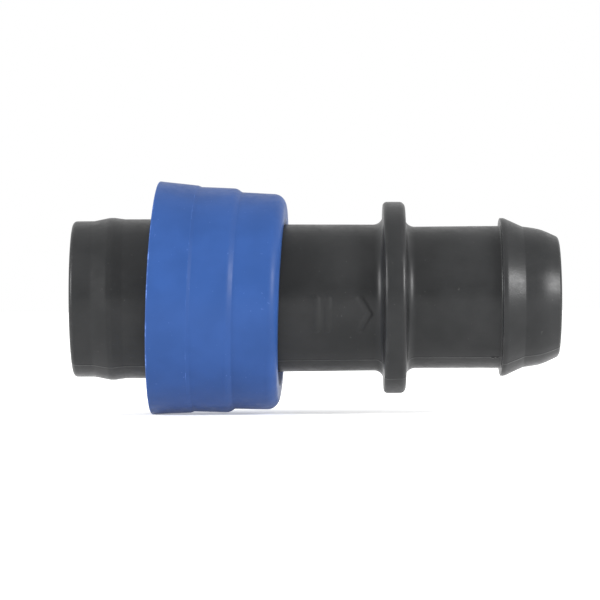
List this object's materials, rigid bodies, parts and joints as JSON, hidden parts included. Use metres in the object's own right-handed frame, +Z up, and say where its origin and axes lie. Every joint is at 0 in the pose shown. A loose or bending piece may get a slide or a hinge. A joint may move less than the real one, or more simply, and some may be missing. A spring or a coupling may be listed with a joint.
{
  "type": "drip tape to pipe barb coupling",
  "caption": "Straight coupling: tape spigot with a loose, threaded lock nut on one side, and a flange and single barb for soft pipe on the other.",
  "frame": {"origin": "on the flow axis, at the flange face that the pipe butts against", "axes": "+X along the flow axis from the tape end to the barbed end, +Z up, -Y towards the side with the raised flow marks"},
  "size_m": [0.0484, 0.0233, 0.0233],
  "materials": {
    "black_moulding": "semi-matte carbon-black polypropylene moulding",
    "blue_moulding": "semi-matte mid-blue polypropylene moulding"
  },
  "bodies": {
    "fitting": {"fitting_body": "black_moulding"},
    "nut": {"lock_nut": "blue_moulding"}
  },
  "joints": [
    {"name": "nut_slide", "type": "slide", "parent": "fitting", "child": "nut", "axis": [1, 0, 0], "range_m": [-0.0108, 0.0092]}
  ]
}
